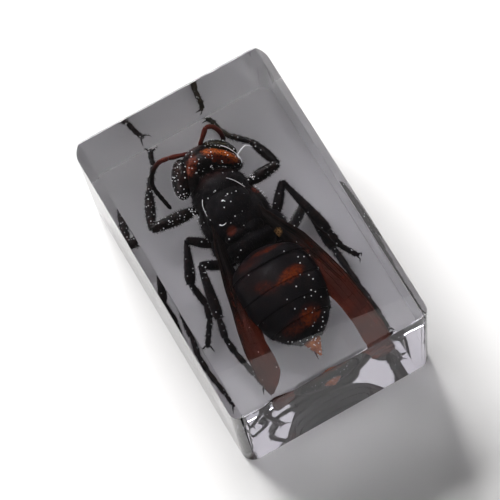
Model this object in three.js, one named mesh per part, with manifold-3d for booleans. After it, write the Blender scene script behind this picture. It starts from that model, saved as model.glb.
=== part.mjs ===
// A paperweight: a dried wasp cast inside one rectangular block of clear resin.
// The block is the only piece with an outside. It is poured solid round the insect, so it has no
// hollow, seam or fastener. The long sides run along Y, with the insect's head towards +Y.
// Units are millimetres, +Z is up, and the origin is the middle of the base.
import * as THREE from "three";
import { mergeVertices } from "three/addons/utils/BufferGeometryUtils.js";
import Module from "manifold-3d";

// Driving dimensions
const LENGTH = 61.5; // along Y, at the top
const WIDTH = 40; // along X, at the top
const HEIGHT = 26; // along Z
const CORNER_RADIUS = 2.5; // upright corners, from the casting mould
const DRAFT = 0.5; // how far each side leans in from the top down to the base
const CHAMFER = 1.65; // flat ground along the two long top edges, at 45 degrees
const EDGE_ROUND = 0.5; // polished arris round the top and the base
const CORNER_STEPS = 8; // facets round each upright corner
const EDGE_STEPS = 3; // facets across each arris

const wasm = await Module();
wasm.setup();

// A closed three.js geometry as a solid for cutting.
function solidFrom(geometry) {
  const positions = new THREE.BufferGeometry();
  positions.setAttribute("position", geometry.getAttribute("position"));
  if (geometry.index) positions.setIndex(geometry.index);
  const merged = mergeVertices(positions, 1e-4);
  return new wasm.Manifold(
    new wasm.Mesh({
      numProp: 3,
      vertProperties: merged.attributes.position.array,
      triVerts: new Uint32Array(merged.index.array),
    }),
  );
}

// A solid as a three.js geometry again.
function geometryFrom(solid) {
  const mesh = solid.getMesh();
  const geometry = new THREE.BufferGeometry();
  geometry.setAttribute("position", new THREE.BufferAttribute(mesh.vertProperties, 3));
  geometry.setIndex(new THREE.BufferAttribute(mesh.triVerts, 1));
  geometry.computeVertexNormals();
  return geometry;
}

// The block's plan: a rectangle with four arc corners, centred on the origin.
function plan(width, length, radius) {
  const x = width / 2;
  const y = length / 2;
  const shape = new THREE.Shape();
  shape.moveTo(x, y - radius);
  shape.absarc(x - radius, y - radius, radius, 0, Math.PI / 2);
  shape.absarc(radius - x, y - radius, radius, Math.PI / 2, Math.PI);
  shape.absarc(radius - x, radius - y, radius, Math.PI, 1.5 * Math.PI);
  shape.absarc(x - radius, radius - y, radius, 1.5 * Math.PI, 2 * Math.PI);
  return shape;
}

// The plan is extruded up from the base, with the arrises rounded inwards so that the outer sizes
// stay true. Every level is then drawn in towards the middle by its share of the mould's draft.
function castBlock() {
  const geometry = new THREE.ExtrudeGeometry(plan(WIDTH, LENGTH, CORNER_RADIUS), {
    depth: HEIGHT - 2 * EDGE_ROUND,
    curveSegments: CORNER_STEPS,
    bevelEnabled: true,
    bevelThickness: EDGE_ROUND,
    bevelSize: EDGE_ROUND,
    bevelOffset: -EDGE_ROUND,
    bevelSegments: EDGE_STEPS,
  });
  geometry.translate(0, 0, EDGE_ROUND);
  const corners = geometry.getAttribute("position");
  for (let i = 0; i < corners.count; i++) {
    const drawnIn = DRAFT * (1 - corners.getZ(i) / HEIGHT);
    corners.setX(i, corners.getX(i) * (1 - drawnIn / (WIDTH / 2)));
    corners.setY(i, corners.getY(i) * (1 - drawnIn / (LENGTH / 2)));
  }
  return geometry;
}

// What the grinder takes off one long top edge: a square bar stood on its corner, so that one of
// its faces lies along the chamfer. side is 1 for the edge at +X and -1 for the one at -X.
function grinding(side) {
  const bar = 4 * CHAMFER;
  const geometry = new THREE.BoxGeometry(bar, LENGTH + bar, bar);
  geometry.rotateY(Math.PI / 4);
  const outwards = bar / 2 / Math.SQRT2;
  geometry.translate(
    side * (WIDTH / 2 - CHAMFER / 2 + outwards),
    0,
    HEIGHT - CHAMFER / 2 + outwards,
  );
  return geometry;
}

// Clear cast resin with the faint smoky tint of a thick block.
function clearResin() {
  return new THREE.MeshStandardMaterial({
    color: 0xd9d2d8,
    roughness: 0.04,
    metalness: 0,
    transparent: true,
    opacity: 0.35,
  });
}

function resinBlock() {
  const ground = [1, -1].reduce(
    (solid, side) => solid.subtract(solidFrom(grinding(side))),
    solidFrom(castBlock()),
  );
  const block = new THREE.Mesh(geometryFrom(ground), clearResin());
  block.name = "resin_block";
  return block;
}

const paperweight = new THREE.Group();
paperweight.add(resinBlock());

export default paperweight;
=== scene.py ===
"""A paperweight: a dried giant hornet sealed in a rectangular block of clear resin."""
import math

import bpy
from mathutils import Matrix, Vector


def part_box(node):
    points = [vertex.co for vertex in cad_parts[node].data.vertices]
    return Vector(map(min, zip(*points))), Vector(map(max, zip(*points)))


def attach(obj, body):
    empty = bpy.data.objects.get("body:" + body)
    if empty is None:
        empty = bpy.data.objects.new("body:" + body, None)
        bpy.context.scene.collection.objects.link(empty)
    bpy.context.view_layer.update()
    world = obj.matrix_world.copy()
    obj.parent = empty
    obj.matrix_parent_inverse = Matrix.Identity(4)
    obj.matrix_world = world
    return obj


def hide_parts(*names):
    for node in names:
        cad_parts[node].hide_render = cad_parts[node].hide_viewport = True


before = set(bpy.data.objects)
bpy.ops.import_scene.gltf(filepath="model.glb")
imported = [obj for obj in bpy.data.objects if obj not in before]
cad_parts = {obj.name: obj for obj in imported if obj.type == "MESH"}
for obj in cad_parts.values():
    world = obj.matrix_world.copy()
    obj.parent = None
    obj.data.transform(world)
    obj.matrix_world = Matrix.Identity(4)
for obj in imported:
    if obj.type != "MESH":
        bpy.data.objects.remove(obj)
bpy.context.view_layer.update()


# The head. A hornet's head is one hard shell, wide and short, hollowed behind where it hugs
# the thorax. Black, with a bright orange crown pitted like a thimble. It hangs on a thin neck,
# and this one dried with its face turned a little to the left.
# The insect is modelled in millimetres, and settle() brings each finished piece into the frame.
HEAD_LUMPS = (  # centre, half sizes and turn of the swellings that the shell is made of
    ((0.3, 19.2, 11.0), (4.4, 3.0, 4.4), (0.0, 0.0, 0.0)),  # cranium
    ((-3.1, 17.4, 11.0), (1.9, 3.7, 4.3), (0.0, 0.0, -0.1)),  # left cheek, behind the eye
    ((4.0, 17.6, 11.0), (3.5, 1.8, 3.9), (0.0, 0.0, -0.8)),  # right cheek, behind the eye
    ((-1.8, 19.3, 12.9), (2.5, 1.7, 2.3), (0.0, 0.0, 0.85)),  # crown, left of the middle
    ((3.3, 18.5, 13.2), (3.5, 1.4, 2.1), (0.0, 0.0, -0.75)),  # crown, right of the middle
    ((-0.3, 20.8, 11.6), (3.2, 1.7, 3.5), (0.0, 0.0, 0.15)),  # forehead
    ((0.1, 21.4, 7.4), (2.7, 1.6, 2.6), (0.0, 0.0, 0.2)),  # face shield above the jaws
)
HEAD_HOLLOW = ((0.2, 12.2, 11.1), (5.9, 5.1, 5.0))
PATCH_EDGE = 0.85  # where a patch of colour has half faded, as a share of its half size squared
SHELL_VOXEL = 0.16
SMOOTHING = 0.5  # how far one pass of smoothing goes
FURROW_PASSES = 3
HOLLOW_PASSES = 5
MM = 0.001


class Wire:
    """A value in a material. An expression on it adds the Math nodes that work it out."""

    def __init__(self, tree, socket=None):
        self.tree = tree
        self.socket = socket

    def node(self, kind, inputs=(), output=0, **settings):
        """Add a node: its settings, then the values or Wires of its sockets."""
        made = self.tree.nodes.new(kind)
        for name, value in settings.items():
            setattr(made, name, value)
        for name, value in dict(inputs).items():
            if isinstance(value, Wire):
                self.tree.links.new(value.socket, made.inputs[name])
            else:
                made.inputs[name].default_value = value
        return Wire(self.tree, made.outputs[output] if made.outputs else None)

    def math(self, operation, first, second=0.0):
        return self.node("ShaderNodeMath", {0: first, 1: second}, operation=operation)

    def __add__(self, other):
        return self.math("ADD", self, other)

    __radd__ = __add__

    def __sub__(self, other):
        return self.math("SUBTRACT", self, other)

    def __rsub__(self, other):
        return self.math("SUBTRACT", other, self)

    def __mul__(self, other):
        return self.math("MULTIPLY", self, other)

    __rmul__ = __mul__

    def rise(self, low, high):
        """0 below low, 1 above high, and a smooth climb between them."""
        return self.node(
            "ShaderNodeMapRange",
            {"Value": self, "From Min": low, "From Max": high},
            interpolation_type="SMOOTHSTEP",
        )


def finish(name, **fixed):
    """A Principled material with its fixed values, and the Wire that its patterns start from."""
    made = bpy.data.materials.new(name)
    made.use_nodes = True
    shader = made.node_tree.nodes["Principled BSDF"]
    for key, value in fixed.items():
        shader.inputs[key.replace("_", " ")].default_value = value
    return made, Wire(made.node_tree)


def feed(made, **links):
    """Link Wires to the sockets of a material's Principled shader."""
    shader = made.node_tree.nodes["Principled BSDF"]
    for key, wire in links.items():
        made.node_tree.links.new(wire.socket, shader.inputs[key.replace("_", " ")])


def place_of(start):
    """Where a point lies on the insect, in millimetres, as three Wires."""
    spot = start.node("ShaderNodeTexCoord", output=3)
    spot = start.node("ShaderNodeVectorMath", {0: spot, 3: 1 / MM}, operation="SCALE")
    axes = [start.node("ShaderNodeSeparateXYZ", {0: spot}, output=axis) for axis in range(3)]
    return spot, *axes


def noise(start, spot, scale, detail=3.0):
    return start.node("ShaderNodeTexNoise", {"Vector": spot, "Scale": scale, "Detail": detail})


def blend(start, share, first, second):
    """Mix two colours, each a Wire or an (r, g, b) triple."""
    first, second = ((*c, 1.0) if isinstance(c, tuple) else c for c in (first, second))
    return start.node(
        "ShaderNodeMix", {0: share, 6: first, 7: second}, output=2, data_type="RGBA"
    )


def patch(x, y, centre, half_sizes, turn=0.0, soft=0.4):
    """1 in an oval on the insect's back, fading to 0 round it."""
    cos, sin = math.cos(turn), math.sin(turn)
    (across, along_it), (length, width) = centre, half_sizes
    dx, dy = x - across, y - along_it
    long_way = (dx * cos + dy * sin) * (1 / length)
    short_way = (dy * cos - dx * sin) * (1 / width)
    reach = long_way * long_way + short_way * short_way
    return 1 - reach.rise(PATCH_EDGE - soft, PATCH_EDGE + soft)


def bumps(start, height, depth, strength=1.0):
    """Relief in the surface. depth is in millimetres."""
    return start.node(
        "ShaderNodeBump", {"Height": height, "Distance": depth * MM, "Strength": strength}
    )


def deselect():
    bpy.ops.object.select_all(action="DESELECT")


def lump(centre, half_sizes, turn=(0.0, 0.0, 0.0), segments=32):
    """An egg-shaped swelling."""
    deselect()
    bpy.ops.mesh.primitive_uv_sphere_add(
        segments=segments, ring_count=segments // 2, radius=1, location=centre, rotation=turn
    )
    swelling = bpy.context.object
    swelling.scale = half_sizes
    bpy.ops.object.transform_apply(location=True, rotation=True, scale=True)
    return swelling


def join(parts):
    """One object of several."""
    deselect()
    for part in parts:
        part.select_set(True)
    bpy.context.view_layer.objects.active = parts[0]
    if len(parts) > 1:
        bpy.ops.object.join()
    return parts[0]


def modify(piece, kind, **settings):
    """Add a modifier and apply it."""
    deselect()
    piece.select_set(True)
    bpy.context.view_layer.objects.active = piece
    modifier = piece.modifiers.new(kind.title(), kind)
    for name, value in settings.items():
        setattr(modifier, name, value)
    bpy.ops.object.modifier_apply(modifier=modifier.name)


def fuse(lumps, passes):
    """Grow overlapping swellings into one skin, with soft furrows where they meet."""
    shell = join(lumps)
    modify(shell, "REMESH", mode="VOXEL", voxel_size=SHELL_VOXEL)
    modify(shell, "SMOOTH", factor=SMOOTHING, iterations=passes)
    return shell


def settle(piece, name, surface, sharp=40.0):
    """Name a finished piece, give it its material, and bring it from millimetres into the frame."""
    deselect()
    piece.select_set(True)
    bpy.context.view_layer.objects.active = piece
    piece.scale = (MM, MM, MM)
    bpy.ops.object.transform_apply(location=True, rotation=True, scale=True)
    bpy.ops.object.shade_smooth_by_angle(angle=math.radians(sharp))
    piece.name = piece.data.name = name
    piece.data.materials.clear()
    piece.data.materials.append(surface)
    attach(piece, "root")
    return piece


head_shell, start = finish("head_shell", Roughness=0.42, Specular_IOR_Level=0.12)
spot, x, y, z = place_of(start)
grain = noise(start, spot, 1.1)
fine = noise(start, spot, 3.5)
drift = (grain - 0.5) * 0.8
crown = patch(x + drift, y + drift, (3.45, 18.1), (3.8, 1.4), -0.74, 0.25) * z.rise(11.5, 13.0)
# Painted shade: the left half of the orange band lies less lit, so it is painted a dimmer
# red-brown.
cheek = patch(x + drift, y - drift, (-2.1, 18.9), (2.4, 1.05), 0.9, 0.6) * z.rise(11.5, 13.0)
rear = patch(x, y, (2.9, 17.6), (4.0, 0.9), -0.74, 0.7)
pits = start.node("ShaderNodeTexVoronoi", {"Vector": spot, "Scale": 2.0})
amber = blend(start, fine.rise(0.35, 0.65), (0.17, 0.025, 0.003), (0.52, 0.11, 0.008))
amber = blend(start, rear, amber, (0.1, 0.014, 0.003))
amber = blend(start, 1 - pits.rise(0.2, 0.4), amber, (0.014, 0.003, 0.002))
# The dimmer red-brown of that painted shade, pitted like the rest of the crown.
shaded_amber = blend(start, fine.rise(0.35, 0.65), (0.05, 0.008, 0.003), (0.19, 0.03, 0.008))
shaded_amber = blend(start, 1 - pits.rise(0.2, 0.42), shaded_amber, (0.008, 0.003, 0.002))
shade = blend(start, grain, (0.005, 0.0042, 0.0045), (0.011, 0.006, 0.0055))
shade = blend(start, y.rise(21.3, 22.3) * (1 - x.rise(1.0, 2.5)), shade, (0.05, 0.011, 0.006))
shade = blend(start, cheek, shade, shaded_amber)
feed(
    head_shell,
    Base_Color=blend(start, crown, shade, amber),
    Normal=bumps(start, pits, 0.06, 0.6),
)
head = fuse([lump(*swelling) for swelling in HEAD_LUMPS], FURROW_PASSES)
hollow = lump(*HEAD_HOLLOW)
modify(head, "BOOLEAN", operation="DIFFERENCE", object=hollow, solver="EXACT")
bpy.data.objects.remove(hollow)
modify(head, "REMESH", mode="VOXEL", voxel_size=SHELL_VOXEL)
modify(head, "SMOOTH", factor=SMOOTHING, iterations=HOLLOW_PASSES)
settle(head, "head", head_shell)


# The compound eyes and the three small eyes between them. Domes of clear cornea over dark
# pigment, set into the sides of the head and dried to a dull brown-black gloss.
EYES = (
    ((-4.65, 18.4, 11.3), (1.9, 4.0, 4.2), (0.0, 0.1, -0.36)),
    ((4.1, 20.1, 11.0), (3.4, 1.8, 3.9), (0.0, 0.0, -0.72)),
)
SMALL_EYES = ((0.2, 20.3, 14.6), (-0.6, 19.5, 14.9), (0.9, 19.4, 14.9))
SMALL_EYE_RADIUS = 0.26

eye_glaze, start = finish("eye_glaze", Roughness=0.24, Specular_IOR_Level=0.12)
spot, x, _, _ = place_of(start)
facets = start.node("ShaderNodeTexVoronoi", {"Vector": spot, "Scale": 9.0})
mottle = noise(start, spot, 0.5)
shade = blend(start, mottle.rise(0.4, 0.7), (0.0095, 0.0075, 0.008), (0.023, 0.01, 0.0075))
feed(
    eye_glaze,
    Base_Color=blend(start, x.rise(0.0, 4.0) * mottle, shade, (0.014, 0.016, 0.006)),
    Normal=bumps(start, facets, 0.02, 0.3),
)
domes = [lump(*eye, segments=48) for eye in EYES]
settle(join(domes), "compound_eyes", eye_glaze)
dots = [lump(at, [SMALL_EYE_RADIUS] * 3, segments=16) for at in SMALL_EYES]
settle(join(dots), "small_eyes", eye_glaze)


# The antennae. A long first joint and a whip of eleven short ones, red-brown by the head and
# nearly black below. Each joint is a hard tube, a little wider at its far end, and the first is
# let into a socket on the forehead.
FIRST_JOINT_RADII = (0.32, 0.44, 0.42, 0.48, 0.54, 0.42)
ANTENNA_JOINTS = 11
WHIP_RADIUS = 0.48
WHIP_TAPER = 0.008  # how much thinner each joint is than the one before
JOINT_START = (0.8, 0.95, 1.0)  # shares of the joint's radius
JOINT_END = (1.04, 1.06)
LAST_JOINT_END = (0.8, 0.4)
ANTENNA_ROUTES = {  # socket, elbow, then the whip
    "antenna_left": (
        (-0.9, 21.9, 12.7), (-4.8, 22.9, 13.3),
        (-5.5, 23.1, 13.0), (-6.5, 23.5, 12.2), (-7.7, 23.3, 10.8), (-9.1, 22.4, 9.4),
        (-9.8, 20.6, 8.5), (-9.3, 18.1, 7.6), (-8.8, 15.5, 6.8),
    ),
    "antenna_right": (
        (1.2, 22.1, 12.6), (3.9, 24.3, 14.9),
        (5.1, 24.1, 14.4), (5.9, 23.0, 12.9), (6.0, 22.0, 11.6), (5.9, 21.6, 9.8),
        (5.4, 22.2, 7.6), (4.6, 23.2, 6.2),
    ),
}


def turned(sections, sides=12):
    """A rod along +Y with a round section: (distance along it, radius) for each ring."""
    deselect()
    bpy.ops.mesh.primitive_circle_add(
        vertices=sides, radius=sections[0][1], fill_type="NGON",
        location=(0, sections[0][0], 0), rotation=(math.radians(-90), 0, 0),
    )
    bpy.ops.object.transform_apply(location=True, rotation=True, scale=True)
    bpy.ops.object.mode_set(mode="EDIT")
    bpy.ops.mesh.select_all(action="SELECT")
    for (before, width_before), (here, width) in zip(sections, sections[1:]):
        bpy.ops.mesh.extrude_region_move(
            TRANSFORM_OT_translate={"value": (0, here - before, 0)}
        )
        bpy.ops.transform.resize(value=[width / width_before] * 3)
    bpy.ops.mesh.select_all(action="SELECT")
    bpy.ops.mesh.normals_make_consistent(inside=False)
    bpy.ops.object.mode_set(mode="OBJECT")
    return bpy.context.object


def rod(begin, end, radii, flat=1.0, sides=12):
    """A hard joint of a limb from one point to another, with its radii at even steps."""
    begin, end = Vector(begin), Vector(end)
    length = (end - begin).length
    steps = len(radii) - 1
    piece = turned([(length * step / steps, radius) for step, radius in enumerate(radii)], sides)
    piece.rotation_mode = "QUATERNION"
    piece.rotation_quaternion = (end - begin).to_track_quat("Y", "Z")
    piece.location = begin
    piece.scale = (1, 1, flat)
    bpy.ops.object.transform_apply(location=True, rotation=True, scale=True)
    return piece


def along(route, share):
    """The point at a share of a polyline's length."""
    route = [Vector(point) for point in route]
    lengths = [(b - a).length for a, b in zip(route, route[1:])]
    rest = share * sum(lengths)
    for a, b, length in zip(route, route[1:], lengths):
        if rest <= length:
            return a.lerp(b, rest / length)
        rest -= length
    return route[-1]


def rounded(route, passes=2):
    """The same route with its corners cut off."""
    route = [Vector(point) for point in route]
    for _ in range(passes):
        cut = [route[0]]
        for a, b in zip(route, route[1:]):
            cut += [a.lerp(b, 0.25), a.lerp(b, 0.75)]
        route = cut + [route[-1]]
    return route


antenna_shell, start = finish("antenna_shell", Roughness=0.45, Specular_IOR_Level=0.12)
spot, _, _, z = place_of(start)
feed(
    antenna_shell,
    Base_Color=blend(start, z.rise(10.0, 13.8), (0.008, 0.0045, 0.004), (0.12, 0.02, 0.012)),
    Normal=bumps(start, noise(start, spot, 6.0), 0.03, 0.5),
)
for name, route in ANTENNA_ROUTES.items():
    whip = rounded(route[1:])
    parts = [rod(route[0], route[1], FIRST_JOINT_RADII)]
    stops = [along(whip, joint / ANTENNA_JOINTS) for joint in range(ANTENNA_JOINTS + 1)]
    for joint, (a, b) in enumerate(zip(stops, stops[1:])):
        width = WHIP_RADIUS - WHIP_TAPER * joint
        middle = along(whip, (joint + 0.5) / ANTENNA_JOINTS)
        joint_end = LAST_JOINT_END if joint == ANTENNA_JOINTS - 1 else JOINT_END
        parts.append(rod(a, middle, [width * s for s in JOINT_START]))
        parts.append(rod(middle, b, [width * s for s in (1.0, *joint_end)]))
    settle(join(parts), name, antenna_shell)


# The jaws and the palps. Two broad blades cross below the face, with four thin feelers behind
# them. They are of the same hard shell as the antennae.
JAWS = (
    ((-2.3, 21.3, 6.2), (0.5, 22.0, 3.9)),
    ((2.9, 21.3, 6.2), (0.2, 21.6, 3.5)),
)
PALPS = (
    ((-1.0, 20.2, 5.6), (-1.5, 19.2, 3.4)),
    ((1.5, 20.2, 5.6), (2.0, 19.2, 3.4)),
    ((-0.2, 19.7, 5.6), (-0.5, 18.7, 3.9)),
    ((0.7, 19.7, 5.6), (0.9, 18.7, 3.9)),
)
JAW_RADII = (0.9, 1.15, 1.05, 0.8, 0.5, 0.2)
JAW_FLATTEN = 0.6
PALP_RADII = (0.12, 0.16, 0.13, 0.16, 0.1)

mouth_parts = [rod(*jaw, JAW_RADII, flat=JAW_FLATTEN) for jaw in JAWS]
mouth_parts += [rod(*palp, PALP_RADII) for palp in PALPS]
settle(join(mouth_parts), "jaws_and_palps", antenna_shell)


# The thorax. A black barrel of fused plates that holds the wing muscles: collar, back plate,
# shield, side plates and the slope down to the waist. Black under a thin pile, and rubbed red
# brown in a few places.
THORAX_LUMPS = (
    ((0.3, 6.8, 10.8), (5.7, 7.2, 4.9)),  # barrel
    ((0.2, 12.4, 11.1), (5.5, 4.7, 4.6)),  # collar
    ((-3.6, 7.4, 9.2), (2.6, 4.6, 3.9)),  # left side plate
    ((4.2, 7.4, 9.2), (2.7, 4.8, 3.9)),  # right side plate
    ((0.2, 6.6, 7.4), (3.4, 5.4, 2.6)),  # breast
    ((0.3, 1.0, 10.6), (5.2, 2.9, 4.3)),  # slope to the waist
    ((-4.2, 2.8, 9.4), (2.4, 3.2, 3.2)),  # left hind hip plate
    ((5.3, 2.4, 9.4), (2.8, 3.4, 3.2)),  # right hind hip plate
    ((0.3, 16.6, 10.8), (1.3, 2.0, 1.2)),  # neck
)
BACK_PLATE = ((0.1, 8.7, 12.8), (4.6, 5.4, 3.4))
SHIELD_LUMPS = (
    ((-1.2, 3.2, 12.7), (2.7, 1.8, 2.6)),
    ((1.5, 3.2, 12.7), (2.7, 1.8, 2.6)),
)
HIND_SHIELD = ((0.1, 1.2, 12.6), (3.9, 1.1, 1.95))
THORAX_PASSES = 4
BACK_PLATE_PASSES = 2
WING_CAPS = (((-4.2, 7.6, 13.3), (0.75, 1.15, 0.5)), ((4.1, 7.2, 13.3), (0.75, 1.15, 0.5)))

thorax_shell, start = finish("thorax_shell", Roughness=0.33, Specular_IOR_Level=0.05)
spot, x, y, z = place_of(start)
grain = noise(start, spot, 0.8)
fine = noise(start, spot, 4.0)
shade = blend(start, grain.rise(0.5, 0.75), (0.008, 0.007, 0.0082), (0.0138, 0.0085, 0.0085))
rub = patch(x, y, (-2.0, 3.9), (1.0, 0.9), 0.6, 0.85) * z.rise(10.0, 12.0)
shade = blend(start, rub * (0.4 + 0.6 * fine), shade, (0.11, 0.018, 0.007))
rub = patch(x, y, (6.0, 9.6), (0.7, 0.9), 0.0, 0.8)
shade = blend(start, rub * fine.rise(0.35, 0.6), shade, (0.2, 0.045, 0.03))
shade = blend(start, y.rise(13.8, 15.8), shade, (0.022, 0.009, 0.0085))
feed(
    thorax_shell,
    Base_Color=shade,
    Normal=bumps(start, noise(start, spot, 5.0), 0.05, 0.5),
    Roughness=0.3 + 0.25 * noise(start, spot, 2.0),
)
barrel = fuse([lump(*swelling) for swelling in THORAX_LUMPS], THORAX_PASSES)
settle(barrel, "thorax", thorax_shell)
plate = fuse([lump(*BACK_PLATE)], BACK_PLATE_PASSES)
settle(plate, "back_plate", thorax_shell)
shield = fuse([lump(*swelling) for swelling in SHIELD_LUMPS], FURROW_PASSES)
settle(shield, "shield", thorax_shell)
settle(lump(*HIND_SHIELD), "hind_shield", thorax_shell)
settle(join([lump(*cap) for cap in WING_CAPS]), "wing_caps", thorax_shell)


# The gaster. Six hard rings that slide into each other like a telescope, each with a rolled hind
# edge, then the sting, and the waist in front. Black, with what is left of its orange-brown
# bands, which darken as the insect dries, and a horn-coloured tip. The bands are painted as
# uneven brighter patches on the upper side: partly their own colour, partly painted sheen where
# light falls on them.
GASTER_AXIS = (0.3, 0.0, 12.0)
GASTER_FLATTEN = 0.8
GASTER_RINGS = (  # front and hind edge, and the half widths at even steps between them
    (-0.9, -5.2, (1.2, 4.0, 6.1, 7.05, 7.5)),
    (-4.6, -10.2, (7.1, 7.6, 7.85, 8.0, 8.1)),
    (-9.6, -14.0, (7.85, 7.95, 7.95, 7.8, 7.6)),
    (-13.4, -17.3, (7.4, 7.25, 6.95, 6.6, 6.15)),
    (-16.7, -20.9, (6.0, 5.65, 5.0, 4.0, 2.5)),
    (-20.1, -24.4, (2.1, 1.75, 1.3, 0.8, 0.2)),
)
RING_SIDES = 64
RIM_ROLL = 0.09
WAIST = ((-0.1, -0.1, 11.6), (0.1, -1.6, 11.8))
WAIST_RADII = (1.3, 1.0, 1.0, 1.5)
STING = ((-0.2, -22.6, 12.2), (-0.5, -25.0, 12.0))
STING_RADII = (0.28, 0.22, 0.16, 0.09, 0.03)
BAND_AND_SHEEN_PATCHES = (  # centre, half sizes, turn and softness of a band patch with painted sheen, its wander, strength
    ((1.3, -2.9), (3.4, 0.7), -0.05, 0.7, (0.0, 0.4), 0.7),
    ((2.8, -9.7), (3.0, 1.4), 0.15, 0.85, (0.6, 0.5), 1.0),
    ((-2.2, -9.8), (2.4, 1.5), -0.5, 0.85, (0.0, 0.0), 0.5),
    ((-3.4, -6.4), (3.2, 3.2), 0.0, 0.85, (1.0, 0.0), 0.16),
    ((2.5, -17.6), (2.2, 1.8), 0.5, 0.85, (0.0, 0.5), 0.5),
    ((3.9, -19.8), (1.4, 0.8), 0.5, 0.85, (0.0, 0.0), 0.4),
    ((-2.9, -3.7), (3.2, 1.1), -0.1, 0.85, (0.0, 0.3), 0.32),
    ((-0.6, -18.4), (5.2, 1.5), 0.12, 0.85, (0.0, 0.3), 0.6),
)

gaster_shell, start = finish("gaster_shell", Roughness=0.4, Specular_IOR_Level=0.05)
spot, x, y, z = place_of(start)
grain = noise(start, spot, 0.45, 2.0)
fine = noise(start, spot, 1.8)
drift = (grain - 0.5) * 2.6
dorsal = z.rise(13.0, 15.5)
# Painted sheen: the band patches are brighter where light falls on them, and only on the upper
# side.
glow = 0.0
for centre, half_sizes, turn, soft, (wander_x, wander_y), strength in BAND_AND_SHEEN_PATCHES:
    oval = patch(x + drift * wander_x, y + drift * wander_y, centre, half_sizes, turn, soft)
    glow = glow + oval * strength
glow = glow * (0.7 + 0.5 * fine.rise(0.3, 0.7)) * dorsal
tip = 1 - y.rise(-21.9, -21.0)
horn = blend(start, fine.rise(0.3, 0.7), (0.24, 0.05, 0.014), (0.46, 0.15, 0.05))
shade = blend(start, grain.rise(0.45, 0.7), (0.0088, 0.0074, 0.0088), (0.0135, 0.0095, 0.0102))
shade = blend(start, glow.rise(0.0, 0.6), shade, (0.03, 0.008, 0.007))
shade = blend(start, glow.rise(0.35, 1.3), shade, (0.19, 0.032, 0.005))
feed(
    gaster_shell,
    Base_Color=blend(start, tip, shade, horn),
    Normal=bumps(start, noise(start, spot, 7.0), 0.04, 0.25),
    Roughness=0.3 + 0.25 * fine,
)


def in_order(mesh):
    """A copy of a mesh with its points and faces numbered by their place.

    The modelling operators number them in another order in each run, and subdivision and what is
    scattered on a mesh follow the numbers.
    """
    faces = []
    for face in mesh.polygons:
        corners = [tuple(mesh.vertices[i].co) for i in face.vertices]
        first = corners.index(min(corners))
        faces.append(corners[first:] + corners[:first])
    faces.sort()
    numbers = {}
    for corner in (corner for face in faces for corner in face):
        numbers.setdefault(corner, len(numbers))
    copy = bpy.data.meshes.new("in_order")
    copy.from_pydata(list(numbers), [], [[numbers[corner] for corner in face] for face in faces])
    return copy


for number, (front, rear, widths) in enumerate(GASTER_RINGS, start=1):
    steps = len(widths) - 1
    sections = [(front + (rear - front) * i / steps, w) for i, w in enumerate(widths)]
    last = widths[-1]
    sections += [
        (rear - RIM_ROLL, last + 0.3 * RIM_ROLL),
        (rear - 2 * RIM_ROLL, last - 0.2 * RIM_ROLL),
        (rear - 2 * RIM_ROLL, last - 3 * RIM_ROLL),
        (rear + RIM_ROLL, last - 4 * RIM_ROLL if last > 1 else last * 0.5),
    ]
    ring = turned(sections, RING_SIDES)
    ring.scale = (1, 1, GASTER_FLATTEN)
    ring.location = GASTER_AXIS
    bpy.ops.object.transform_apply(location=True, rotation=True, scale=True)
    ring.data = in_order(ring.data)
    modify(ring, "SUBSURF", levels=2, render_levels=2)
    settle(ring, f"gaster_ring_{number}", gaster_shell)
settle(rod(*WAIST, WAIST_RADII), "waist", thorax_shell)
settle(rod(*STING, STING_RADII), "sting", antenna_shell)


# The legs. Six jointed limbs of hard tube: hip, ring, thigh, shin and a foot of five short
# joints with two claws and a pad. Dried stiff where the insect was set out before casting.
LEG_ROUTES = {  # hip, thigh, knee, ankle, then the foot to its claws, and the thigh's half width
    "leg_left_fore": (
        (-2.2, 11.4, 7.4), (-4.2, 12.6, 7.6), (-13.7, 13.5, 8.4), (-10.6, 20.8, 6.6),
        ((-8.6, 23.5, 5.6), (-7.3, 25.2, 5.0), (-7.0, 26.6, 4.4), (-6.7, 27.7, 3.9),
         (-6.3, 28.5, 3.5)),
        1.25,
    ),
    "leg_right_fore": (
        (2.4, 11.2, 7.4), (5.4, 12.4, 7.8), (12.1, 12.9, 8.6), (10.4, 19.4, 7.4),
        ((7.6, 23.3, 5.0), (6.8, 25.5, 3.7), (6.7, 27.1, 2.9), (6.6, 28.2, 2.4),
         (6.3, 29.0, 2.0)),
        1.2,
    ),
    "leg_left_mid": (
        (-2.8, 5.2, 6.6), (-5.0, 4.9, 6.8), (-9.5, 7.9, 8.8), (-12.8, 0.9, 6.0),
        ((-12.2, -3.6, 4.7), (-12.9, -6.3, 4.0), (-14.0, -7.8, 3.5), (-14.9, -9.1, 3.1),
         (-15.6, -10.2, 2.8)),
        0.92,
    ),
    "leg_right_mid": (
        (3.4, 3.4, 6.8), (6.2, 3.4, 7.4), (11.2, 8.9, 9.0), (13.9, -3.1, 6.6),
        ((14.2, -5.2, 5.9), (14.4, -6.6, 5.4), (15.0, -7.5, 5.0), (15.6, -8.4, 4.5),
         (16.1, -9.2, 4.1)),
        0.92,
    ),
    "leg_left_hind": (
        (-2.4, 1.6, 7.0), (-5.4, 0.4, 7.2), (-9.7, 2.1, 9.6), (-11.7, -7.9, 7.3),
        ((-12.5, -11.6, 6.7), (-12.3, -14.8, 6.2), (-11.8, -17.4, 5.8), (-11.2, -20.2, 5.4),
         (-10.7, -22.6, 5.0)),
        0.95,
    ),
    "leg_right_hind": (
        (3.2, 0.8, 7.0), (6.7, -0.5, 7.0), (13.1, 4.6, 3.0), (13.3, -5.6, 2.8),
        ((13.4, -10.5, 3.9), (13.4, -14.6, 5.1), (13.6, -18.5, 6.2), (13.7, -22.0, 6.4),
         (13.6, -25.0, 6.3)),
        0.95,
    ),
}
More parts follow.
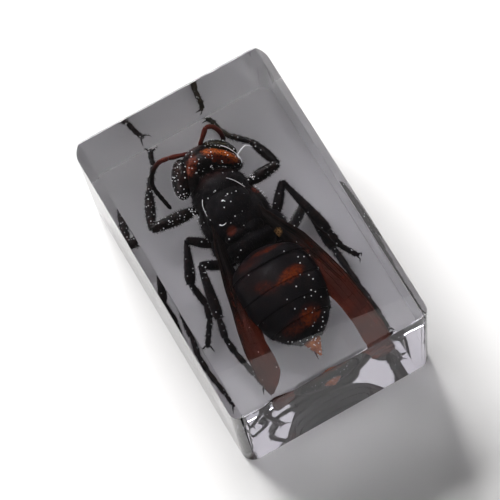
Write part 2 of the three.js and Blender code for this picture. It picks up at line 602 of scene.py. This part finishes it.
HIP_SHAPE = (1.15, 1.5, 1.35, 0.95)  # half widths as shares of the thigh's
RING_SHAPE = (0.8, 0.95, 0.8)
THIGH_SHAPE = (0.7, 0.92, 1.03, 1.05, 1.0, 0.92, 0.82, 0.62)
FOOT_JOINT_SHAPE = (0.72, 0.88, 0.94, 1.0, 1.06, 0.85)  # shares of the joint's own radius
RING_SHARE = 0.12  # how much of the thigh the ring takes
KNEE_REACH = 0.25  # how far the knee stands out past the bend
SPUR_REACH = 2.0
SPUR_SPLAY = 0.85
SPUR_DROP = 0.3
SPUR_RADII = (0.13, 0.09, 0.02)
FOOT_RADII = (0.6, 0.56, 0.52, 0.5, 0.48)
FOOT_SCALES = {"fore": 1.0, "mid": 1.08, "hind": 1.05}
SHIN_SHAPES = {  # half width of the shin along its length, as a share of the thigh's
    "fore": (0.45, 0.6, 0.72, 0.78, 0.78, 0.72, 0.62, 0.5),
    "mid": (0.46, 0.6, 0.72, 0.86, 0.98, 1.08, 1.1, 0.8),
    "hind": (0.5, 0.66, 0.78, 0.9, 1.0, 1.08, 1.08, 0.8),
}

CLAW_SPREAD = 0.5
CLAW_BENDS = {  # the claws that dried bent to one side: heading, spread and curl
    "leg_right_fore": ((-0.85, 0.45, -0.1), 0.2, (-0.5, 0.02, -0.1)),
    "leg_right_mid": ((0.7, -0.65, -0.3), 0.28, (-0.4, -0.65, -0.2)),
}

leg_shell, start = finish("leg_shell", Roughness=0.42, Specular_IOR_Level=0.1)
spot, x, y, _ = place_of(start)
tone = noise(start, spot, 0.7)
shade = blend(start, tone.rise(0.4, 0.75), (0.0062, 0.0048, 0.005), (0.021, 0.01, 0.0085))
# The legs behind y = 8 mm are painted a little lighter than the fore legs.
lighter_rear_tone = blend(start, tone.rise(0.4, 0.75), (0.0128, 0.0105, 0.012), (0.026, 0.0158, 0.015))
shade = blend(start, y.rise(8.0, 11.0), lighter_rear_tone, shade)
foot_tone = x.rise(5.0, 6.5) * y.rise(21.0, 23.5) * (1 - x.rise(9.0, 11.0))
feed(
    leg_shell,
    Base_Color=blend(start, foot_tone, shade, (0.022, 0.017, 0.01)),
    Normal=bumps(start, noise(start, spot, 6.0), 0.05, 0.6),
)


def claws(wrist, heading, spread, curl):
    """Two hooked claws and the pad between them, at the end of a foot."""
    side = heading.cross(Vector((0, 0, 1))).normalized() * spread
    parts = [rod(wrist, wrist + heading * 0.55, (0.3, 0.36, 0.24), flat=0.7, sides=10)]
    for way in (1, -1):
        root = wrist + heading * 0.3 + side * way
        hook = root + heading * 0.6 + side * way - Vector((0, 0, 0.1))
        point = hook + curl + side * 0.5 * way
        parts.append(rod(wrist + heading * 0.1, root, (0.22, 0.2, 0.17), sides=8))
        parts.append(rod(root, hook, (0.17, 0.14, 0.1), sides=8))
        parts.append(rod(hook, point, (0.1, 0.07, 0.015), sides=8))
    return parts


for name, (hip, thigh, knee, ankle, foot, width) in LEG_ROUTES.items():
    hip, thigh, knee, ankle = (Vector(p) for p in (hip, thigh, knee, ankle))
    foot = [Vector(p) for p in foot]
    ring_end = thigh.lerp(knee, RING_SHARE)
    bend = knee + (knee - (thigh + ankle) / 2).normalized() * KNEE_REACH
    pair = name.split("_")[-1]
    parts = [
        rod(hip, thigh, [width * s for s in HIP_SHAPE]),
        rod(thigh, ring_end, [width * s for s in RING_SHAPE]),
        rod(ring_end, bend, [width * s for s in THIGH_SHAPE]),
        rod(bend, ankle, [width * s for s in SHIN_SHAPES[pair]]),
    ]
    joints = [ankle, *foot]
    for radius, a, b in zip(FOOT_RADII, joints, joints[1:]):
        thick = radius * FOOT_SCALES[pair]
        parts.append(rod(a, b, [thick * s for s in FOOT_JOINT_SHAPE]))
    heading = (foot[-1] - foot[-2]).normalized()
    straight = (heading, CLAW_SPREAD, heading * 0.35 - Vector((0, 0, 0.5)))
    heading, spread, curl = CLAW_BENDS.get(name, straight)
    parts += claws(foot[-1], Vector(heading).normalized(), spread, Vector(curl))
    run = (foot[0] - ankle).normalized()
    for way in (1, -1):
        splay = run.cross(Vector((0, 0, 1))).normalized() * SPUR_SPLAY * way
        spur = ankle + run * SPUR_REACH + splay - Vector((0, 0, SPUR_DROP))
        parts.append(rod(ankle, spur, SPUR_RADII, sides=8))
    settle(join(parts), name, leg_shell)


# The wings. Two pairs of thin smoky red-brown membrane on stiff veins, folded lengthwise as a
# hornet rests them, one pair down each flank of the gaster and out past its tip.
WING_STRIPS = {  # outer and inner edges from the root to the tip, as (x, y, z)
    "wing_left_fore": (
        ((-4.4, 7.0, 13.6), (-6.2, 2.4, 13.9), (-7.0, -0.4, 14.1), (-8.4, -5.2, 14.4),
         (-9.4, -9.6, 14.8), (-10.6, -14.0, 15.3), (-11.5, -18.4, 15.9), (-11.8, -23.0, 16.5),
         (-11.8, -26.2, 17.0), (-11.4, -27.7, 17.2)),
        ((-3.8, 6.0, 13.4), (-4.8, 2.0, 13.4), (-5.4, -2.8, 13.0), (-6.2, -8.2, 12.4),
         (-6.8, -13.6, 13.6), (-7.1, -17.6, 15.0), (-7.2, -21.4, 15.9), (-7.6, -24.4, 16.6),
         (-9.0, -26.2, 17.0), (-10.9, -27.7, 17.2)),
    ),
    "wing_right_fore": (
        ((4.6, 6.4, 13.6), (6.8, 1.5, 13.8), (9.0, -2.6, 14.0), (10.6, -8.7, 14.5),
         (11.8, -14.4, 15.0), (12.4, -20.0, 15.7), (12.6, -25.0, 16.4), (12.5, -28.3, 16.9),
         (11.6, -29.4, 17.0)),
        ((3.8, 5.6, 13.4), (4.9, 1.6, 13.4), (5.8, -2.8, 13.0), (6.4, -8.2, 12.4),
         (7.0, -14.2, 13.4), (7.6, -19.0, 14.9), (7.9, -23.0, 15.9), (7.7, -27.8, 16.8),
         (8.6, -29.4, 17.0)),
    ),
    "wing_left_hind": (
        ((-4.2, 5.4, 13.0), (-5.8, 1.0, 13.2), (-6.8, -3.8, 13.4), (-8.2, -9.2, 13.8),
         (-9.4, -14.8, 14.4), (-10.2, -19.0, 15.2), (-10.0, -22.2, 15.8), (-9.4, -23.8, 16.0)),
        ((-3.8, 4.8, 12.8), (-4.6, 0.6, 12.7), (-5.2, -4.0, 12.2), (-5.9, -9.4, 11.8),
         (-6.5, -15.0, 13.0), (-7.4, -19.2, 15.0), (-8.2, -22.2, 15.6), (-9.0, -23.9, 15.9)),
    ),
    "wing_right_hind": (
        ((4.2, 4.8, 13.0), (6.2, 0.2, 13.2), (7.9, -3.8, 13.4), (9.4, -9.2, 13.8),
         (10.8, -14.8, 14.4), (11.4, -19.2, 15.2), (11.2, -22.6, 15.8), (10.4, -24.4, 16.0)),
        ((3.8, 4.2, 12.8), (4.8, 0.2, 12.7), (5.5, -4.0, 12.2), (6.2, -9.4, 11.8),
         (6.9, -15.0, 13.0), (7.9, -19.4, 15.0), (8.8, -22.6, 15.6), (9.8, -24.5, 15.9)),
    ),
}
VEIN_LINES = (0.0, 0.1, 0.3, 0.52, 0.74, 0.93)  # where the long veins run, from the outer edge
VEIN_RADII = (0.2, 0.13, 0.09, 0.075, 0.06, 0.05)
HIND_VEIN_SHARE = 0.75
CROSS_VEINS = (  # how far down the wing, and from which share of its width to which
    (0.42, 0.1, 0.3), (0.5, 0.3, 0.52), (0.6, 0.1, 0.52), (0.68, 0.3, 0.74), (0.77, 0.1, 0.52),
)
CROSS_VEIN_RADIUS = 0.07
PLEAT = 0.22
MEMBRANE_THICKNESS = 0.05

membrane, start = finish("wing_membrane", Roughness=0.5, Specular_IOR_Level=0.08)
spot, x, y, _ = place_of(start)
smoke = noise(start, spot, 0.5)
creases = noise(start, spot, 2.2)
near_body = y.rise(-11.0, -1.0)
shade = blend(start, creases.rise(0.2, 0.8), (0.06, 0.0075, 0.0025), (0.125, 0.018, 0.005))
shade = blend(start, smoke.rise(0.35, 0.65), shade, (0.036, 0.0055, 0.0025))
shade = blend(start, near_body, shade, (0.0055, 0.0042, 0.0042))
hinge = patch(x, y, (5.2, -0.2), (0.9, 0.8), 0.0, 0.6) * creases.rise(0.3, 0.55)
feed(
    membrane,
    Base_Color=blend(start, hinge, shade, (0.3, 0.16, 0.06)),
    Alpha=0.86 + 0.13 * near_body,
    Normal=bumps(start, creases, 0.05, 0.5),
)
vein_shell, start = finish("vein_shell", Roughness=0.5, Specular_IOR_Level=0.08)
tone = noise(start, place_of(start)[0], 0.9)
feed(vein_shell, Base_Color=blend(start, tone, (0.007, 0.0035, 0.0035), (0.022, 0.008, 0.005)))


def on_wing(edges, down, across):
    """A point of a wing: a share of the way to the tip, and a share across from the outer edge."""
    outer, inner = edges
    point = along(outer, down).lerp(along(inner, down), across)
    swell = math.sin(math.pi * min(1.0, down * 1.1))
    return point + Vector((0, 0, PLEAT * swell * math.cos(across * 3 * math.pi)))


def membrane_sheet(edges, rows=60, columns=24):
    """The sheet of a wing, pleated along its length."""
    deselect()
    bpy.ops.mesh.primitive_grid_add(x_subdivisions=columns, y_subdivisions=rows, size=2)
    sheet = bpy.context.object
    for corner in sheet.data.vertices:
        across, down = (corner.co.x + 1) / 2, (1 - corner.co.y) / 2
        corner.co = on_wing(edges, down, across)
    modify(sheet, "SMOOTH", factor=SMOOTHING, iterations=2)
    modify(sheet, "SOLIDIFY", thickness=MEMBRANE_THICKNESS, offset=0)
    return sheet


def vein(points, radius):
    """A hollow vein along some points, thinner towards its far end, as a mesh."""
    deselect()
    curve = bpy.data.curves.new("vein", "CURVE")
    curve.dimensions = "3D"
    curve.bevel_depth = 1
    curve.bevel_resolution = 2
    curve.resolution_u = 3
    curve.use_fill_caps = True
    line = curve.splines.new("POLY")
    line.points.add(len(points) - 1)
    for number, (point, place) in enumerate(zip(line.points, points)):
        point.co = (*place, 1)
        point.radius = radius * (1 - 0.65 * number / (len(points) - 1))
    piece = bpy.data.objects.new("vein", curve)
    bpy.context.collection.objects.link(piece)
    piece.select_set(True)
    bpy.context.view_layer.objects.active = piece
    bpy.ops.object.convert(target="MESH")
    return bpy.context.object


for name, edges in WING_STRIPS.items():
    settle(membrane_sheet(edges), name, membrane, sharp=80)
    lines = []
    for across, radius in zip(VEIN_LINES, VEIN_RADII):
        reach = 1.0 if across < 0.05 else 0.97 - 0.25 * across
        route = [on_wing(edges, reach * step / 40, across) for step in range(41)]
        lines.append(vein(route, radius if "fore" in name else radius * HIND_VEIN_SHARE))
    for down, first, second in CROSS_VEINS:
        steps = [first + (second - first) * step / 6 for step in range(7)]
        route = [on_wing(edges, down + 0.02 * (s - first), s) for s in steps]
        lines.append(vein(route, CROSS_VEIN_RADIUS))
    settle(join(lines), name.replace("wing", "veins"), vein_shell, sharp=80)


# The hairs. Stiff dark brown bristles grow out of every plate, longest on the thorax, thickest on
# the legs and short on the gaster. They all lean back.
HAIR_COATS = (  # on which piece, hairs for each square millimetre, length, seed
    ("thorax", 7.0, 0.7, 3),
    ("back_plate", 4.0, 0.45, 5),
    ("shield", 5.0, 0.6, 7),
    ("head", 5.0, 0.45, 11),
    ("gaster_ring_1", 3.0, 0.5, 13),
    ("gaster_ring_2", 2.2, 0.35, 17),
    ("gaster_ring_3", 2.2, 0.35, 19),
    ("gaster_ring_4", 2.6, 0.4, 23),
    ("gaster_ring_5", 3.0, 0.45, 29),
    ("gaster_ring_6", 4.0, 0.5, 31),
    ("leg_left_fore", 12.0, 0.5, 37),
    ("leg_right_fore", 12.0, 0.5, 41),
    ("leg_left_mid", 12.0, 0.5, 43),
    ("leg_right_mid", 12.0, 0.5, 47),
    ("leg_left_hind", 12.0, 0.5, 53),
    ("leg_right_hind", 12.0, 0.5, 59),
)
HAIR_THICKNESS = 0.038
HAIR_LEAN = (0.0, -0.6, 0.0)
HAIR_RAGGED = 0.45
HAIR_SIZES = (0.5, 1.1)  # the shortest and the longest, as shares of the coat's length
COATS_OF_HEAD_AND_THORAX = 4  # how many of the coats are on the head and the thorax,
COATS_OF_GASTER = 6  # and how many of the next are on the gaster

hair_fibre, start = finish("hair_fibre", Roughness=0.5, Specular_IOR_Level=0.1)
tone = noise(start, place_of(start)[0], 0.5)
feed(hair_fibre, Base_Color=blend(start, tone, (0.004, 0.003, 0.003), (0.02, 0.009, 0.006)))


def scatter(target, shape, density, seed, sizes, lean, ragged):
    """Stand copies of a small shape all over a piece, as one mesh.

    density is for a square millimetre, sizes are the least and greatest scale of a copy, and lean
    and ragged turn it away from the surface's normal.
    """
    deselect()
    coat = bpy.data.objects.new("coat", in_order(target.data))
    bpy.context.collection.objects.link(coat)
    coat.select_set(True)
    bpy.context.view_layer.objects.active = coat
    tree = bpy.data.node_groups.new("scatter", "GeometryNodeTree")
    tree.interface.new_socket("Geometry", in_out="INPUT", socket_type="NodeSocketGeometry")
    tree.interface.new_socket("Geometry", in_out="OUTPUT", socket_type="NodeSocketGeometry")
    start = Wire(tree)
    skin = start.node("NodeGroupInput")
    points = start.node(
        "GeometryNodeDistributePointsOnFaces",
        {"Mesh": skin, "Density": density / MM**2, "Seed": seed}, distribute_method="RANDOM",
    )
    normal = Wire(tree, points.socket.node.outputs["Normal"])
    stray = start.node(
        "FunctionNodeRandomValue",
        {0: (-ragged,) * 3, 1: (ragged,) * 3, "Seed": seed + 1}, data_type="FLOAT_VECTOR",
    )
    heading = start.node("ShaderNodeVectorMath", {0: normal, 1: stray}, operation="ADD")
    heading = start.node("ShaderNodeVectorMath", {0: heading, 1: lean}, operation="ADD")
    turn = start.node("FunctionNodeAlignRotationToVector", {"Vector": heading}, axis="Z")
    size = start.node(
        "FunctionNodeRandomValue",
        {2: sizes[0], 3: sizes[1], "Seed": seed + 2}, output=1, data_type="FLOAT",
    )
    model = start.node("GeometryNodeObjectInfo", {"Object": shape}, output=4)
    copies = start.node(
        "GeometryNodeInstanceOnPoints",
        {"Points": points, "Instance": model, "Rotation": turn, "Scale": size},
    )
    solid = start.node("GeometryNodeRealizeInstances", {0: copies})
    start.node("NodeGroupOutput", {0: solid})
    modifier = coat.modifiers.new("scatter", "NODES")
    modifier.node_group = tree
    bpy.ops.object.modifier_apply(modifier=modifier.name)
    return coat


def small_shape(piece):
    """A shape modelled in millimetres, brought to its real size for scatter()."""
    piece.location *= MM
    piece.scale = (MM, MM, MM)
    bpy.ops.object.transform_apply(location=True, rotation=True, scale=True)
    return piece


coats = []
for where, density, length, seed in HAIR_COATS:
    deselect()
    bpy.ops.mesh.primitive_cone_add(
        vertices=3, radius1=HAIR_THICKNESS, depth=length, location=(0, 0, length * 0.45)
    )
    bristle = small_shape(bpy.context.object)
    target = bpy.data.objects[where]
    coats.append(scatter(target, bristle, density, seed, HAIR_SIZES, HAIR_LEAN, HAIR_RAGGED))
    bpy.data.objects.remove(bristle)


def name_coat(coat, name, surface):
    """Name a scattered coat and give it its material. It is in metres already."""
    coat.name = coat.data.name = name
    coat.data.materials.clear()
    coat.data.materials.append(surface)
    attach(coat, "root")


gaster_coats = coats[COATS_OF_HEAD_AND_THORAX:COATS_OF_HEAD_AND_THORAX + COATS_OF_GASTER]
leg_coats = coats[COATS_OF_HEAD_AND_THORAX + COATS_OF_GASTER:]
name_coat(
    join(coats[:COATS_OF_HEAD_AND_THORAX]), "hairs_of_head_and_thorax", hair_fibre
)
name_coat(join(gaster_coats), "hairs_of_gaster", hair_fibre)
name_coat(join(leg_coats), "hairs_of_legs", hair_fibre)


# Trapped air. Tiny beads of air cling to the insect where the resin did not wet it, and thin
# films of air lie along some edges. Their walls mirror the light, so they look silver white; a
# painted reflection stands in for that: a whitish colour and a faint glow of their own.
BEAD_COATS = (  # on which piece, beads for each square millimetre, seed
    ("thorax", 0.06, 101),
    ("back_plate", 0.08, 103),
    ("head", 0.7, 107),
    ("compound_eyes", 1.0, 109),
    ("gaster_ring_2", 0.04, 113),
    ("gaster_ring_3", 0.05, 127),
    ("gaster_ring_4", 0.06, 131),
    ("gaster_ring_5", 0.2, 137),
    ("gaster_ring_6", 1.0, 139),
    ("leg_left_fore", 1.3, 149),
    ("leg_right_fore", 0.6, 151),
    ("leg_left_mid", 0.3, 157),
    ("leg_right_mid", 0.25, 163),
    ("leg_left_hind", 0.5, 167),
    ("leg_right_hind", 0.25, 173),
    ("wing_right_fore", 0.02, 179),
    ("wing_left_fore", 0.02, 181),
)
BEAD_RADIUS = 0.12
BEAD_SIZES = (0.25, 1.0)
BEAD_RAGGED = 0.3
AIR_FILMS = (  # points along each film, and its half width
    (((4.5, 19.7, 15.0), (5.3, 18.8, 14.9), (5.8, 18.0, 14.6), (6.3, 17.0, 14.0),
      (6.3, 16.0, 13.2)), 0.07),
    (((2.2, 13.5, 15.2), (3.0, 12.7, 15.1), (3.7, 11.6, 15.0), (4.3, 10.2, 14.9)), 0.07),
    (((-3.5, 12.2, 14.4), (-4.1, 11.2, 14.3), (-4.3, 10.0, 14.4), (-4.4, 8.8, 14.5)), 0.06),
    (((-3.3, 6.0, 15.2), (-2.9, 5.5, 15.4), (-2.1, 5.6, 15.7)), 0.11),
    (((-0.8, 9.6, 16.2), (-0.5, 9.7, 16.3), (-0.3, 9.2, 16.3)), 0.15),
    (((6.3, 16.4, 13.0), (6.4, 17.0, 13.2), (7.3, 17.4, 13.2),
      (8.5, 18.0, 13.0), (9.0, 17.7, 12.8), (9.6, 17.1, 12.4)), 0.14),
    (((6.4, 17.0, 13.2), (6.6, 15.9, 12.8), (6.4, 15.3, 12.2)), 0.12),
)
AIR_DROPS = (  # larger beads, with their radii
    ((-0.8, 12.1, 15.9), 0.13), ((-1.1, 12.0, 15.9), 0.09), ((0.8, 10.3, 16.2), 0.12),
    ((-2.6, 11.6, 15.4), 0.11), ((-1.0, 8.3, 16.2), 0.12), ((0.6, 8.7, 16.2), 0.1),
    ((6.6, 12.7, 11.5), 0.14), ((6.6, 12.0, 11.5), 0.12), ((5.8, 11.9, 11.9), 0.13),
    ((6.8, 12.2, 11.3), 0.16), ((6.7, 11.7, 11.3), 0.12), ((6.4, 12.3, 11.6), 0.12),
    ((7.1, 12.1, 11.0), 0.13), ((7.0, 12.7, 11.0), 0.1), ((6.4, 10.3, 11.0), 0.13),
    ((6.7, 9.6, 11.0), 0.12), ((6.8, 9.0, 11.0), 0.14), ((7.0, 8.6, 10.8), 0.15),
    ((6.7, 8.4, 11.0), 0.12), ((6.6, 9.0, 11.0), 0.1), ((6.9, 7.8, 10.8), 0.12),
    ((-6.2, 13.0, 9.6), 0.12), ((-6.1, 12.5, 9.6), 0.14), ((-6.0, 11.7, 9.6), 0.12),
    ((-5.9, 11.3, 9.8), 0.13), ((-5.5, 11.1, 10.2), 0.12), ((-5.5, 10.6, 10.2), 0.14),
    ((-5.8, 12.6, 9.8), 0.1), ((-5.5, 11.9, 10.2), 0.12), ((-6.0, 10.2, 9.8), 0.12),
    ((5.7, -7.1, 16.5), 0.11), ((6.7, -7.4, 15.6), 0.12), ((8.0, -10.2, 14.0), 0.09),
    ((5.9, -12.2, 16.5), 0.13), ((4.5, -14.0, 17.1), 0.13), ((4.0, -14.9, 16.8), 0.11),
    ((5.5, -15.7, 15.5), 0.09), ((4.7, -18.3, 14.4), 0.09), ((3.9, -19.0, 14.6), 0.09),
    ((3.6, -19.6, 14.1), 0.13), ((2.9, -20.3, 13.7), 0.12), ((2.1, -20.6, 13.8), 0.09),
    ((0.6, -21.1, 13.4), 0.11), ((-0.5, -21.0, 13.3), 0.12), ((-1.7, -20.6, 13.6), 0.12),
    ((-3.0, -20.0, 13.4), 0.11), ((-3.6, -19.6, 13.4), 0.09), ((0.2, -15.7, 17.5), 0.12),
    ((5.4, -8.4, 16.9), 0.11), ((7.3, -14.6, 13.4), 0.09), ((5.6, -11.2, 16.7), 0.12),
    ((4.0, -5.0, 17.1), 0.12), ((-3.2, 2.6, 15.6), 0.11), ((-2.4, -0.3, 15.2), 0.11),
)

# Painted reflection: a whitish colour and a faint glow stand in for the light that the air mirrors.
air_gap, start = finish(
    "air_gap", Roughness=0.2, Specular_IOR_Level=0.8, Emission_Color=(1, 1, 1, 1),
    Emission_Strength=0.28,
)
tone = noise(start, place_of(start)[0], 1.5)
feed(air_gap, Base_Color=blend(start, tone, (0.8, 0.82, 0.85), (0.98, 0.98, 0.98)))
deselect()
bpy.ops.mesh.primitive_ico_sphere_add(subdivisions=2, radius=BEAD_RADIUS)
bead = small_shape(bpy.context.object)
beads = [
    scatter(bpy.data.objects[where], bead, density, seed, BEAD_SIZES, (0, 0, 0), BEAD_RAGGED)
    for where, density, seed in BEAD_COATS
]
bpy.data.objects.remove(bead)
name_coat(join(beads), "air_beads", air_gap)
bpy.ops.object.shade_smooth()
films = [vein(rounded(points), radius) for points, radius in AIR_FILMS]
films += [lump(place, [radius] * 3, segments=16) for place, radius in AIR_DROPS]
settle(join(films), "air_films", air_gap, sharp=80)


# The resin block. Clear casting resin poured round the insect in a mould with leaning sides, then
# turned out, with a flat ground along both long top edges and the whole polished. A thick piece
# has a faint smoky tint.
CORNER_RADIUS = 2.5
CORNER_STEPS = 20
DRAFT = 0.5
CHAMFER = 1.65
FRONT_ARRIS = 0.62  # the widest rounding, along the near end's top edge
ARRIS = 0.45
BASE_ARRIS = 0.02
CREASE = 0.12  # where a ground flat meets its neighbours
ARRIS_STEPS = 4
RESIN_IOR = 1.5
RESIN_TINT = (0.713, 0.700, 0.747, 1.0)
RESIN_DENSITY = 30.0
LIFT = 0.003  # the block stands this far clear of the floor

low, high = (Vector(corner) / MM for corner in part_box("resin_block"))
size = high - low
middle = (low + high) / 2
deselect()
bpy.ops.mesh.primitive_cube_add(size=1, location=middle)
block = bpy.context.object
block.scale = size
bpy.ops.object.transform_apply(location=True, rotation=True, scale=True)


def select_edges(piece, wanted):
    """Select the edges that a test accepts. The test gets an edge's two ends."""
    bpy.ops.object.mode_set(mode="OBJECT")
    mesh = piece.data
    for group in (mesh.polygons, mesh.edges, mesh.vertices):
        for item in group:
            item.select = False
    for edge in mesh.edges:
        edge.select = wanted(*(mesh.vertices[i].co for i in edge.vertices))
    bpy.ops.object.mode_set(mode="EDIT")
    bpy.ops.mesh.select_mode(type="EDGE")


def upright(a, b):
    return abs(a.z - b.z) > size.z / 2


def on_base(a, b):
    return max(a.z, b.z) < low.z + 0.01


bpy.ops.object.mode_set(mode="EDIT")
select_edges(block, on_base)
bpy.ops.transform.resize(value=(1 - 2 * DRAFT / size.x, 1 - 2 * DRAFT / size.y, 1))
select_edges(block, upright)
bpy.ops.mesh.bevel(offset=CORNER_RADIUS, segments=CORNER_STEPS, profile=0.5)
for way in (1, -1):
    bpy.ops.mesh.select_all(action="SELECT")
    bpy.ops.mesh.bisect(
        plane_co=(way * (high.x - CHAMFER), 0, high.z),
        plane_no=(way * math.sqrt(0.5), 0, math.sqrt(0.5)),
        use_fill=True, clear_outer=True,
    )
bpy.ops.object.mode_set(mode="OBJECT")
mesh = block.data
faces_of = {}
for face in mesh.polygons:
    for key in face.edge_keys:
        faces_of.setdefault(tuple(sorted(key)), []).append(face)
weights = mesh.attributes.new("bevel_weight_edge", "FLOAT", "EDGE")
for edge in mesh.edges:
    first, second = faces_of[tuple(sorted(edge.vertices))]
    # A ground flat is the only face whose normal is far from both upright and level.
    chamfered = max(min(abs(f.normal.x), abs(f.normal.z)) for f in (first, second)) > 0.6
    level = max(abs(first.normal.z), abs(second.normal.z)) > 0.9
    ends = [mesh.vertices[i].co for i in edge.vertices]
    if chamfered:
        weights.data[edge.index].value = CREASE / FRONT_ARRIS
    elif level and first.normal.angle(second.normal) > 1:
        front = ends[0].z > middle.z and ends[0].y < 0 and ends[1].y < 0
        side = ARRIS if ends[0].z > middle.z else BASE_ARRIS
        weights.data[edge.index].value = 1.0 if front else side / FRONT_ARRIS
modify(
    block, "BEVEL", limit_method="WEIGHT", width=FRONT_ARRIS, segments=ARRIS_STEPS,
    use_clamp_overlap=False, miter_outer="MITER_ARC",
)

resin, start = finish(
    "clear_resin", Base_Color=(1, 1, 1, 1), Roughness=0.0, IOR=RESIN_IOR, Transmission_Weight=1.0
)
tree = resin.node_tree
tint = start.node("ShaderNodeVolumeAbsorption", {"Color": RESIN_TINT, "Density": RESIN_DENSITY})
tree.links.new(tint.socket, tree.nodes["Material Output"].inputs["Volume"])
for corner in mesh.vertices:
    corner.co.z = max(corner.co.z, LIFT)
block = settle(block, "resin_casting", resin, sharp=180)
modify(block, "WEIGHTED_NORMAL", mode="FACE_AREA", weight=100)
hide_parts("resin_block")


# The stage: a pale paper floor, a large soft panel behind, one at each side, a small one overhead
# whose mirror image lies across the near end of the block's top, and the camera.
FLOOR_HALF_SIZE = 1.5
PANELS = (  # name, place, aim, width and length in metres, power in watts
    ("overhead", (0.38, 0.8735, 3.0), (0.38, 0.8735, 0.0), (0.7, 0.3), 0.75),
    ("back", (-0.2, 2.5, 1.9), (0.0, 0.0, 0.0), (1.8, 1.5), 215.0),
    ("left", (-1.7, 1.9, 1.2), (0.0, 0.0, 0.0), (1.2, 1.2), 9.0),
    ("right", (1.7, 1.9, 1.3), (0.0, 0.0, 0.0), (1.2, 1.2), 10.0),
)
OVERHEAD_TURN = math.radians(-7.65)
WORLD_LEVEL = 0.06
LIGHT_BOUNCES = 16
PAPER_GRAIN = 60.0
CAMERA_PLACE = (-0.06705767, -0.2097498, 0.55386792)
CAMERA_TURN = (21.76672741, 4.75492819, -29.3037885)
LENS = 230.4

deselect()
bpy.ops.mesh.primitive_plane_add(size=2 * FLOOR_HALF_SIZE)
floor = bpy.context.object
floor.name = "floor"
paper, start = finish("floor_paper", Roughness=0.7, Specular_IOR_Level=0.2)
spot = start.node("ShaderNodeTexCoord", output=3)
grain = start.node("ShaderNodeTexNoise", {"Vector": spot, "Scale": PAPER_GRAIN})
feed(paper, Base_Color=blend(start, grain, (0.80, 0.79, 0.785), (0.83, 0.82, 0.815)))
floor.data.materials.append(paper)

for name, place, aim, (width, length), power in PANELS:
    light = bpy.data.lights.new(name, "AREA")
    light.shape = "RECTANGLE"
    light.size = width
    light.size_y = length
    light.energy = power
    panel = bpy.data.objects.new(name, light)
    bpy.context.collection.objects.link(panel)
    panel.location = place
    panel.rotation_mode = "QUATERNION"
    if name == "overhead":
        panel.rotation_quaternion = Matrix.Rotation(OVERHEAD_TURN, 3, "Z").to_quaternion()
    else:
        panel.rotation_quaternion = (Vector(aim) - Vector(place)).to_track_quat("-Z", "Y")

world = bpy.data.worlds.new("studio")
world.use_nodes = True
world.node_tree.nodes["Background"].inputs["Color"].default_value = (1, 1, 1, 1)
world.node_tree.nodes["Background"].inputs["Strength"].default_value = WORLD_LEVEL
bpy.context.scene.world = world
bpy.context.scene.view_settings.view_transform = "Standard"
bpy.context.scene.cycles.max_bounces = LIGHT_BOUNCES
bpy.context.scene.cycles.transmission_bounces = LIGHT_BOUNCES

camera = bpy.data.objects.new("camera", bpy.data.cameras.new("camera"))
camera.data.lens = LENS
camera.data.sensor_width = 36
camera.data.clip_start = 0.01
camera.location = CAMERA_PLACE
camera.rotation_euler = [math.radians(angle) for angle in CAMERA_TURN]
bpy.context.collection.objects.link(camera)
bpy.context.scene.camera = camera
